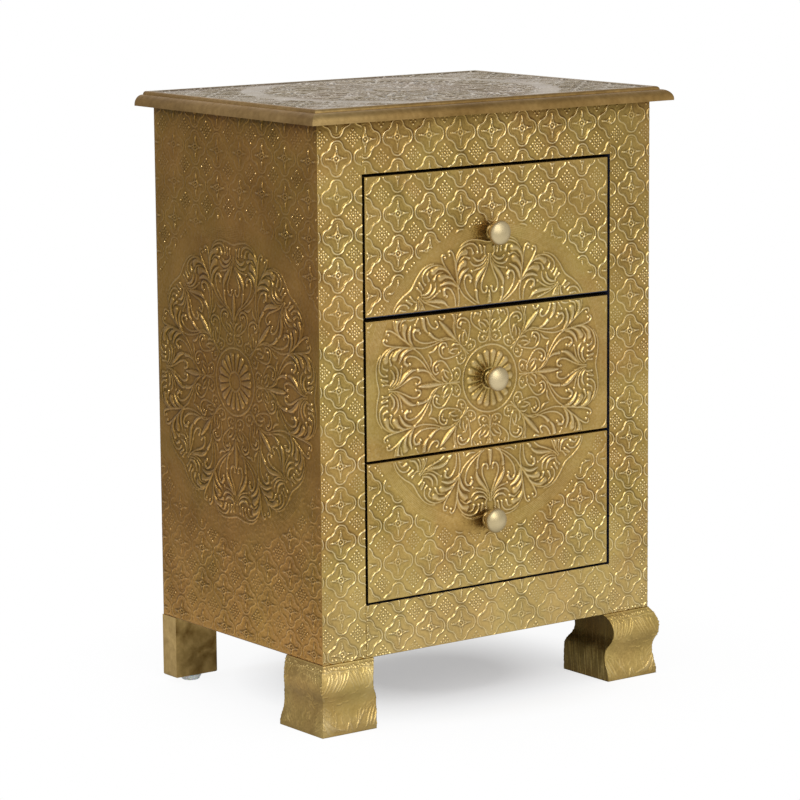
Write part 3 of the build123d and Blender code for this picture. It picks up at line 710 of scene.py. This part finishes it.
# One of each with the grain along x, y and z
WOODS = {kind: [wood(f"{kind}_{'xyz'[a]}", *tones, a) for a in range(3)] for kind, tones in TIMBERS.items()}
FINISHES = {"plain_brass": PLAIN, "foot_brass": FOOT, "knob_brass": KNOB, "glide_plastic": PLASTIC,
            "screw_steel": STEEL, "embossed_brass": EMBOSSED}
FOLDED_EDGE = 1.1  # width of the folds along the mouldings' edges
FOLDED_ANGLE = math.radians(35)  # a sharper edge than this is folded
slots = {part["node"]: part["material_slot"] for part in frame["record"]["subparts"]}
for name, node in nodes.items():
    low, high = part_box(name)
    longest = max(range(3), key=lambda a: (high - low)[a])
    kind = slots[name]
    node.data.materials.clear()
    if name.startswith(("front_stile", "front_rail", "drawer_front")):
        finish = NAVY
    elif name.startswith("back_leg_wrap"):
        finish = LEG
    # the side mouldings take the lighter copy: painted light
    elif name in ("top_moulding_left", "top_moulding_right"):
        finish = SIDE_MOULDING
    else:
        finish = WOODS[kind][longest] if kind in WOODS else FINISHES[kind]
    node.data.materials.append(finish)
    if name.startswith("top_moulding"):
        folded = node.modifiers.new("folded_edges", "BEVEL")
        folded.width = FOLDED_EDGE * MM
        folded.segments = 3
        folded.limit_method = "ANGLE"
        folded.angle_limit = FOLDED_ANGLE

# --- Sheets -----------------------------------------------------------

# Planes of the sheets: unit vectors along u and v, and the outward normal
FRONT = ((1, 0, 0), (0, 0, 1), (0, -1, 0))
LEVEL = ((1, 0, 0), (0, 1, 0), (0, 0, 1))
FRONT_STEP, SIDE_STEP, TOP_STEP = 0.7, 0.85, 0.9  # spacing of the meshes
FRONT_DISC, SIDE_DISC, TOP_DISC = (-0.5, 332.0), (9.0, 331.0), (0.0, 8.25)  # medallions' centres
FAR = (0.0, 9999.0)  # a medallion this far off leaves only the lattice
CASE_TOP = 596.0
KNOB_PAD = (6.2, 7.4, 8.4)  # radii of a knob's pad, of its foot and of the ornament's start
SHADOW_DIRT_PLACE, SHADOW_DIRT_STRETCH, SHADOW_DIRT_SIZE = (-9, -2), 1.6, 13  # painted shadow of a knob, with dirt, beside it: place, shape, size
NAIL_RADIUS, NAIL_PITCH, NAIL_HEIGHT = 1.3, 4.6, 73.0  # the row of nails at the stiles' feet
STILE_INSET = 0.8  # how far the stiles' outer edges stay back from the case's corners

# How each sheet's lattice lies: see lattice
LAYS = {
    "drawer_bottom": (-0.4, 158.8, 38.4, 38.4, -1.0, 0.92),
    "drawer_middle": (2.9, 336.0, 38.4, 38.4, 0.0, 0.7),
    "drawer_top": (2.8, 503.6, 38.4, 38.6, 0.0, 0.95),
    "stile_left": (-184.0, 301.5, 38.4, 37.2, 0.0, 0.95),
    "stile_right": (181.0, 325.6, 38.4, 36.65, -0.4, 1.0),
    "rail_bottom": (0.5, 87.5, 38.5, 38.5, -1.1, 0.95),
    "rail_top": (2.8, 577.7, 38.4, 38.6, 0.0, 1.0),
    "side": (-4.3, 152.3, 39.1, 36.97, 0.0, 0.75),
    "top": (0.0, 8.25, 38.6, 38.6, 0.0, 1.0),
}


def extent(name):
    """A node's box in millimetres, as rows of low and high."""
    low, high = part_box(name)
    return [(low[a] / MM, high[a] / MM) for a in range(3)]


def overhang_shade(u, v):
    """Painted shade under the overhang of the top."""
    return np.exp(-np.clip(CASE_TOP - v, 0, None) / 8)


def front_sheet(part, place, border, seed, body="carcass", disc=FAR, knob=None, outer=0.0, fold=0.7,
                nails=(), trim=(0.0, 0.0), band=(BAND_EDGE, 0.0), knob_shadow_dirt=0.0):
    """The embossed sheet on a part of the front, in place of its node. knob and nails are places on
    it. outer moves its left edge in if positive, its right edge if negative, and trim its lower and
    upper edges. handled is how dark the patch beside the knob is: a painted shadow of the knob, with dirt."""
    node, lay = f"{part}_sheet_{place}", LAYS[f"{part}_{place}"]
    x, y, z = extent(node)
    z = z[0] + trim[0], z[1] + trim[1]
    left = x[0] + (outer if outer > 0 else 0)
    right = x[1] + (outer if outer < 0 else 0)

    def height(u, v):
        h = pattern(u, v, disc, lay, LATTICE, band)
        if knob is not None:
            pad, pad_foot, clear = KNOB_PAD
            r = np.hypot(u - knob[0], v - knob[1])
            h = np.maximum(h * smoothstep(pad_foot, clear, r), 1 - smoothstep(pad, pad_foot, r))
        for nail in nails:
            h = np.maximum(h, dome(np.hypot(u - nail[0], v - nail[1]), NAIL_RADIUS))
        return h

    def soil(u, v):
        # painted shade under the top, and beside the knob a painted shadow of it with dirt
        darkening = overhang_shade(u, v)
        if knob is not None:
            knob_patch_distance = np.hypot((u - knob[0] - SHADOW_DIRT_PLACE[0]) / SHADOW_DIRT_STRETCH, v - knob[1] - SHADOW_DIRT_PLACE[1])
            darkening = darkening + knob_shadow_dirt * np.exp(-((knob_patch_distance / SHADOW_DIRT_SIZE) ** 2))
        return darkening

    made = relief_sheet(f"relief_{part}_{place}", body, FRONT, (left, right), z, -y[0], -y[1], FRONT_STEP,
                        EMBOSSED, height=height, border=border, fold=fold, seed=seed, soil=soil)
    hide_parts(node)


# The hand-fitted drawers leave uneven gaps: how far each sheet's lower and upper edges are off
TRIMS = {"bottom": (-0.5, 0.3), "middle": (-0.2, -0.2), "top": (1.0, 0.2)}
RAIL_TRIMS = {"bottom": (0.0, 0.6), "top": (0.0, 0.0)}
# Radius of the plain band's outer edge, and how far its centre is off to the right of the medallion's
BANDS = {"bottom": (154.5, 0.0), "middle": (157.0, 0.0), "top": (153.5, 4.0)}
KNOB_SHADOW_DIRT = {"bottom": 0.42, "middle": 0.22, "top": 0.25}  # how dark the patch beside each knob is: a painted shadow of the knob, with dirt
for seed, drawer in enumerate(("bottom", "middle", "top")):
    x, y, z = extent(f"knob_{drawer}")
    front_sheet("drawer", drawer, 1.6, seed, f"drawer_{drawer}", FRONT_DISC, (sum(x) / 2, sum(z) / 2),
                trim=TRIMS[drawer], band=BANDS[drawer], knob_shadow_dirt=KNOB_SHADOW_DIRT[drawer])
for seed, (side, outer) in enumerate((("left", STILE_INSET), ("right", -STILE_INSET)), start=11):
    middle = sum(extent(f"stile_sheet_{side}")[0]) / 2
    nails = [(middle + NAIL_PITCH * k + rng.uniform(-0.8, 0.8), NAIL_HEIGHT + rng.uniform(-0.6, 0.6))
             for k in range(-5, 6)]
    front_sheet("stile", side, 0.2, seed, outer=outer, fold=0.45, nails=nails)
for seed, place in enumerate(("bottom", "top"), start=13):
    front_sheet("rail", place, 0.2, seed, fold=0.35, trim=RAIL_TRIMS[place])

for side, sign in (("left", -1), ("right", 1)):
    x, y, z = extent(f"side_sheet_{side}")
    outer, inner = max(abs(x[0]), abs(x[1])), min(abs(x[0]), abs(x[1]))
    # the side sheets are darker under the top's overhang: painted shade
    made = relief_sheet(f"relief_side_{side}", "carcass", ((0, 1, 0), (0, 0, 1), (sign, 0, 0)), y, z,
                        outer, inner, SIDE_STEP, EMBOSSED_SIDE,
                        height=lambda u, v: pattern(u, v, SIDE_DISC, LAYS["side"], SIDE_LATTICE),
                        border=1.6, fold=0.7, seed=20 + sign, soil=overhang_shade, grained=2.0)
    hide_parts(f"side_sheet_{side}")

x, y, z = extent("top_sheet")
made = relief_sheet("relief_top", "carcass", LEVEL, x, y, z[1], z[0], TOP_STEP, EMBOSSED_TOP,
                    height=lambda u, v: pattern(u, v, TOP_DISC, LAYS["top"], LATTICE),
                    border=1.2, fold=0.7, seed=30, grained=1.5, soften=0.55, rim=True)
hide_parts("top_sheet")

# --- Front feet, clad in offcuts of embossed sheet --------------------

FOOT_RELIEF = 1.0  # depth of the cladding's creases
FOOT_HEIGHT = 70.0
FOOT_STEP = 0.65  # spacing of the cladding's mesh
SEAM_DROPS = (3.6, 6.0)  # how far below the case a row of dents and a crease run
INNER_FACE_DROP = 0.36  # how much darker the faces under the case are: painted shade
RIGHT_FOOT_DROP = 0.11  # how much darker the right foot is
FOOT_UV = 80  # millimetres of cladding across one tile of the UV square
# Bold strokes on the front face: across from the outer arris, up from the floor; the side has its own.
FOOT_FRONT = (
    [[(34 + 7.6 * k, 61), (36.5 + 7.2 * k, 53), (40 + 6.6 * k, 44)] for k in range(4)]
    + [[(37 + 7.6 * k, 61), (39.2 + 7.2 * k, 54), (42.5 + 6.6 * k, 47)] for k in range(4)]
    + [[(62 + 3.6 * k, 61), (59 + 3.4 * k, 52), (57 + 3.2 * k, 42)] for k in range(4)]
    + [[(4 + 4.4 * k, 44), (9 + 4.6 * k, 53), (12 + 4.8 * k, 61)] for k in range(6)]
    + [[(3 + 1.2 * k, 26 - 2.2 * k), (5 + 2.2 * k, 15 - 1.3 * k), (9 + 3.4 * k, 4)] for k in range(7)]
    + [[(56 + 4.0 * k, 4), (60 + 4.0 * k, 13), (65 + 3.6 * k, 22)] for k in range(4)]
    + [[(33, 2), (36, 10)], [(39, 2), (36.5, 10)], [(44, 3), (48, 12)], [(46, 9), (55, 21)]]
    + [[(6, 34), (3, 40)]]
)
FOOT_SIDE = (
    [[(24 + 9 * math.cos(k), 33 + 9 * math.sin(k)),
      (25 + 4 * math.cos(k + 0.6), 33 + 4 * math.sin(k + 0.6)),
      (25 + 2 * math.cos(k), 33 + 2 * math.sin(k))] for k in (0.3, 1.2, 2.3, 3.1, 4.2, 5.3)]
    + [[(5 + 5 * k, 50 + 2 * k), (9 + 5 * k, 60)] for k in range(8)]
    + [[(3, 22), (6, 14), (12, 8)], [(5, 12), (9, 8), (16, 4)], [(58, 4), (64, 9), (68, 17)]]
)
# Short random creases: how many, between which heights, across which range, and their lean in degrees
CREASES = [(46, (45, 66), (2, 74), 60), (30, (45, 66), (34, 74), 115), (34, (2, 26), (1, 22), 125),
           (26, (2, 24), (50, 75), 55), (14, (2, 20), (22, 50), 90), (12, (26, 44), (2, 74), 20)]


def press_foot(strokes, bold):
    """Creases of one face of the cladding: its own strokes, which rise by bold, then short random
    creases, the crumpled arris and the seam under the case."""
    plate = Plate((-3, -3), (82, FOOT_HEIGHT + 3), 0.3)
    for points in strokes:
        path = smooth_path(points) + rng.uniform(-0.9, 0.9, 2)
        width = 0.5 + rng.uniform(0.3, 0.6) * PROFILES["leaf"](np.linspace(0, 1, len(path)))
        plate.press(path, width, bold * rng.uniform(0.7, 1.0))
    for count, rise, reach, lean in CREASES:
        for _ in range(count):
            start = np.array([rng.uniform(*reach), rng.uniform(*rise)])
            turn = math.radians(lean + rng.uniform(-28, 28))
            length = rng.uniform(3, 9)
            way = np.array([math.cos(turn), math.sin(turn)])
            bow = np.array([-way[1], way[0]]) * rng.uniform(-1.2, 1.2)
            path = smooth_path([start, start + way * length / 2 + bow, start + way * length])
            width, height = rng.uniform(0.45, 0.75), bold * rng.uniform(0.25, 0.7)
            plate.press(path, width, height)
    arris = np.array([(rng.uniform(-0.5, 2.2), z) for z in np.arange(3, 66, 3.7)])
    plate.press(arris, rng.uniform(0.8, 2.0, len(arris)), rng.uniform(0.2, 1.0, len(arris)))
    dents, crease = (FOOT_HEIGHT - drop for drop in SEAM_DROPS)
    seam = np.array([(1.5 + 2.6 * k, dents + rng.uniform(-1.5, 1.5)) for k in range(29)])
    plate.press(seam, rng.uniform(0.7, 1.5, len(seam)), rng.uniform(0.5, 1.0, len(seam)))
    seam = smooth_path([(-2 + 6 * k, crease + rng.uniform(-0.9, 0.9)) for k in range(15)])
    plate.press(seam, 0.6, 0.6)
    plate.h = blur(plate.h, 0.7)
    return plate


FOOT_PLATES = press_foot(FOOT_FRONT, 0.75), press_foot(FOOT_SIDE, 0.55)


def dense_copy(node, voxel):
    """The node's form as an even quad mesh: points in millimetres, normals, faces."""
    copy = add_object("dense", node.data.copy())
    remesh = copy.modifiers.new("remesh", "REMESH")
    remesh.mode = "VOXEL"
    remesh.voxel_size = voxel * MM
    bpy.context.view_layer.update()
    mesh = copy.evaluated_get(bpy.context.evaluated_depsgraph_get()).to_mesh()
    points, normals = np.empty(len(mesh.vertices) * 3), np.empty(len(mesh.vertices) * 3)
    mesh.vertices.foreach_get("co", points)
    mesh.vertices.foreach_get("normal", normals)
    faces = np.empty(len(mesh.polygons) * 4, int)
    mesh.polygons.foreach_get("vertices", faces)
    bpy.data.objects.remove(copy)
    return points.reshape(-1, 3) / MM, normals.reshape(-1, 3), faces.reshape(-1, 4)


def foot(side, sign):
    """The cladding of a front foot, in place of its node; sign is that of x on its side."""
    node = f"front_foot_{side}"
    x, y, z = extent(node)
    points, normals, faces = dense_copy(nodes[node], FOOT_STEP)
    across = points[:, 0] - x[0] if sign < 0 else x[1] - points[:, 0]
    deep = points[:, 1] - y[0]
    front = smoothstep(0.35, 0.75, -normals[:, 1])
    flank = smoothstep(0.35, 0.75, sign * normals[:, 0])
    front_plate, side_plate = FOOT_PLATES
    raised = front * front_plate.sample(across, points[:, 2]) + flank * side_plate.sample(deep, points[:, 2])
    swell = waviness(3 * (points[:, 0] + points[:, 1]), 3 * points[:, 2], 41 + sign)
    # the two faces under the case are plain, streaked upright, and darker with painted shade
    inward = np.clip(smoothstep(0.3, 0.8, -sign * normals[:, 0]) + smoothstep(0.3, 0.8, normals[:, 1]), 0, 1)
    run = across + deep
    streaks = np.sin(1.7 * run + 1.9 * np.sin(0.61 * run) + 0.12 * points[:, 2])
    streaks = streaks * np.sin(0.23 * run * run / 20)
    raised = np.clip(raised + 0.30 * swell + 0.25 * inward * (1 + streaks), 0, 1)
    clad = 1 - smoothstep(0.70, 0.95, np.abs(normals[:, 2]))
    points = points - normals * (FOOT_RELIEF * (1 - raised) * clad)[:, None]
    points = np.clip(points, [x[0], y[0], z[0]], [x[1], y[1], z[1]])
    # each of the six ways that a point can face has its own tile of the UV square
    facing = np.argmax(np.abs(normals), axis=1)
    spread = np.where(facing == 0, points[:, 1] - y[0], points[:, 0] - x[0])
    rise = np.where(facing == 2, points[:, 1] - y[0], points[:, 2])
    tile = facing + 3 * (np.take_along_axis(normals, facing[:, None], 1)[:, 0] > 0)
    uv = np.stack([(tile % 3 + spread / FOOT_UV) / 3, (tile // 3 + rise / FOOT_UV) / 2], 1)
    # painted shade on the faces under the case, more near the top and less along the streaks, and on the side
    # face; a painted highlight on the creases
    dim = INNER_FACE_DROP + 0.16 * smoothstep(25, 60, points[:, 2]) - 0.25 * np.clip(streaks - 0.4, 0, 1)
    tone = 0.47 + 0.4 * np.clip(raised - 0.1, 0, 1) - 0.18 * flank - dim * inward
    tone = tone - (RIGHT_FOOT_DROP if sign > 0 else 0)
    made = new_object(f"cladding_foot_{side}", points, faces, np.ones(len(faces), bool), uv, tone, FOOT)
    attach(made, "carcass")
    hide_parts(node)


foot("left", -1)
foot("right", 1)

# --- Studio -----------------------------------------------------------

FLOOR_REACH = 12.0  # metres
MIRRORED_FLOOR = 0.18  # level of the floor behind the chest, as metal mirrors it
# What metal and plastic mirror above the floor: direction, level and sharpness of each bright part
MIRRORED_BASE = 0.26
MIRRORED_LOBES = [((0.55, -0.83, 0.05), 0.50, 2.0), ((-0.95, -0.25, 0.30), 0.50, 4.0),
                  ((0.60, 0.78, 0.15), 0.60, 2.0)]
WORLD_LIGHT = 0.85
SHADOW_CENTRE = (0.03, 0.0, 0)
LAMPS_AIM = (0, 0, 0.35)  # the middle of the chest


def stage_floor():
    """White floor, which shows the chest's shadow near it and is plain farther off. Metal mirrors
    one that is bright in front, dimmer at the left and dark behind."""
    mesh = bpy.data.meshes.new("floor")
    r = FLOOR_REACH
    mesh.from_pydata([(-r, -r, 0), (r, -r, 0), (r, r, 0), (-r, r, 0)], [], [(0, 1, 2, 3)])
    made = add_object("floor", mesh)
    m = Nodes("floor_white")
    paper = m.ramp(m.noise(3.0, 3), [(0.3, (0.90, 0.90, 0.90)), (0.7, (0.93, 0.93, 0.93))])
    m.link(paper, m.shader.inputs["Base Color"])
    m.shader.inputs["Roughness"].default_value = 0.9
    m.shader.inputs["Specular IOR Level"].default_value = 0.0
    far = m.vector("LENGTH", m.place)
    pool = m.vector("DISTANCE", m.place, SHADOW_CENTRE)
    # share of plain white: least in the middle of the shadow, whole beyond it
    share = m.calc(m.remap(pool, 0.07, 0.21, 0.38, 0.90), m.remap(pool, 0.21, 0.42, 0.0, 0.10))
    front = m.calc(m.remap(m.along(m.place, (0, -1, 0)), 0.0, 0.40, 0, 1),
                   m.remap(far, 0.4, 2.4, 0.92, 0.60), "MULTIPLY")
    left = m.calc(m.remap(m.along(m.place, (-1, 0, 0)), 0.15, 0.40, 0, 1),
                  m.remap(far, 0.38, 0.85, 1.05, 0.22), "MULTIPLY")
    lit = m.calc(m.calc(front, left, "MAXIMUM"), MIRRORED_FLOOR)
    direct, mirrored = m.rays()
    glow = m.add("ShaderNodeEmission")
    dimmed = m.calc(m.calc(lit, 1.0, "SUBTRACT"), mirrored, "MULTIPLY")
    m.link(m.calc(dimmed, 1.0), glow.inputs["Strength"])
    bright = m.calc(m.calc(share, direct, "MULTIPLY"), mirrored, "MAXIMUM")
    surface = m.mix(bright, m.shader.outputs[0], glow.outputs[0])
    m.link(surface, m.tree.nodes["Material Output"].inputs["Surface"])
    mesh.materials.append(m.material)


def studio_world():
    """Even light from all round, a white background, and bright parts that only metal mirrors."""
    world = bpy.data.worlds.new("studio")
    bpy.context.scene.world = world
    world.use_nodes = True
    g = Graph(world.node_tree, "Generated")
    light = world.node_tree.nodes["Background"]
    light.inputs["Color"].default_value = (1, 1, 1, 1)
    light.inputs["Strength"].default_value = WORLD_LIGHT
    level = MIRRORED_BASE
    for direction, amount, sharp in MIRRORED_LOBES:
        facing = g.calc(g.calc(g.along(g.place, direction), 0.0, "MAXIMUM"), sharp, "POWER")
        level = g.calc(g.calc(facing, amount, "MULTIPLY"), level)
    mirror, white = g.add("ShaderNodeBackground"), g.add("ShaderNodeBackground")
    for background in (mirror, white):
        background.inputs["Color"].default_value = (1, 1, 1, 1)
    g.link(level, mirror.inputs["Strength"])
    direct, mirrored = g.rays()
    around = g.mix(mirrored, light.outputs[0], mirror.outputs[0])
    surface = g.mix(direct, around, white.outputs[0])
    g.link(surface, world.node_tree.nodes["World Output"].inputs["Surface"])


def lamp(name, place, size, power, colour=(1, 1, 1)):
    """Square area lamp that points at the middle of the chest."""
    data = bpy.data.lights.new(name, "AREA")
    data.shape = "RECTANGLE"
    data.size = data.size_y = size
    data.energy = power
    data.color = colour
    made = add_object(name, data)
    made.location = place
    made.rotation_euler = (Vector(LAMPS_AIM) - Vector(place)).to_track_quat("-Z", "Y").to_euler()


stage_floor()
studio_world()
lamp("key", (-0.35, -2.4, 1.8), 2.0, 40)
lamp("side", (-2.25, 0.3, 1.4), 0.40, 11, (0.82, 0.96, 1.22))

# --- Camera -----------------------------------------------------------

AZIMUTH, ELEVATION, ROLL = (math.radians(a) for a in (-36.56, 9.59, -0.46))
AIM, DISTANCE = Vector((-0.0011, 0.0120, 0.29027)), 3.5715  # metres
FOCAL_LENGTH, SENSOR_WIDTH = 156.52, 36.0  # millimetres


def place_camera():
    """The view that was fitted to the photo."""
    back = Vector((math.sin(AZIMUTH) * math.cos(ELEVATION), -math.cos(AZIMUTH) * math.cos(ELEVATION),
                   math.sin(ELEVATION)))
    right = (-back).cross(Vector((0, 0, 1))).normalized()
    up = right.cross(-back)
    right, up = right * math.cos(ROLL) + up * math.sin(ROLL), up * math.cos(ROLL) - right * math.sin(ROLL)
    data = bpy.data.cameras.new("camera")
    data.lens = FOCAL_LENGTH
    data.sensor_width = SENSOR_WIDTH
    data.clip_end = 50
    camera = add_object("camera", data)
    turn = Matrix((right, up, back)).transposed().to_4x4()
    camera.matrix_world = Matrix.Translation(AIM + back * DISTANCE) @ turn
    bpy.context.scene.camera = camera


place_camera()
bpy.context.scene.view_settings.view_transform = "Standard"
